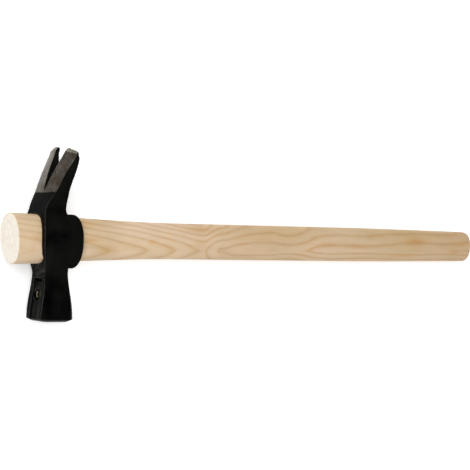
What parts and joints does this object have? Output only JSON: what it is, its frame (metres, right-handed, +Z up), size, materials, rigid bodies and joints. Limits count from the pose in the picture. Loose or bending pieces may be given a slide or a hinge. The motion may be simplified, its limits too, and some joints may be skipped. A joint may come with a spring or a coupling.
{
  "type": "carpenter hammer",
  "caption": "Carpenter's claw hammer: a black forged head with splayed claws, a square poll and a magnetic nail rest, on a slip-through oval ash handle.",
  "frame": {"origin": "On the flat of the lower cheek, under the middle of the eye: the hammer lies on its side.", "axes": "+X along the handle from the thick end to the grip, +Y from the eye to the claws, so the striking face looks along -Y, +Z up from the lower cheek to the upper one."},
  "size_m": [0.4247, 0.1157, 0.031],
  "materials": {
    "black_paint": "satin black paint over a forged skin, ground bare at the claws' front and round the striking face",
    "ash_wood": "sanded pale ash with open grain",
    "brass_sleeve": "turned, slightly dull",
    "magnet_plating": "dull nickel plating"
  },
  "bodies": {
    "root": {"head": "black_paint", "handle": "ash_wood", "magnet_sleeve": "brass_sleeve", "magnet": "magnet_plating"}
  },
  "joints": []
}
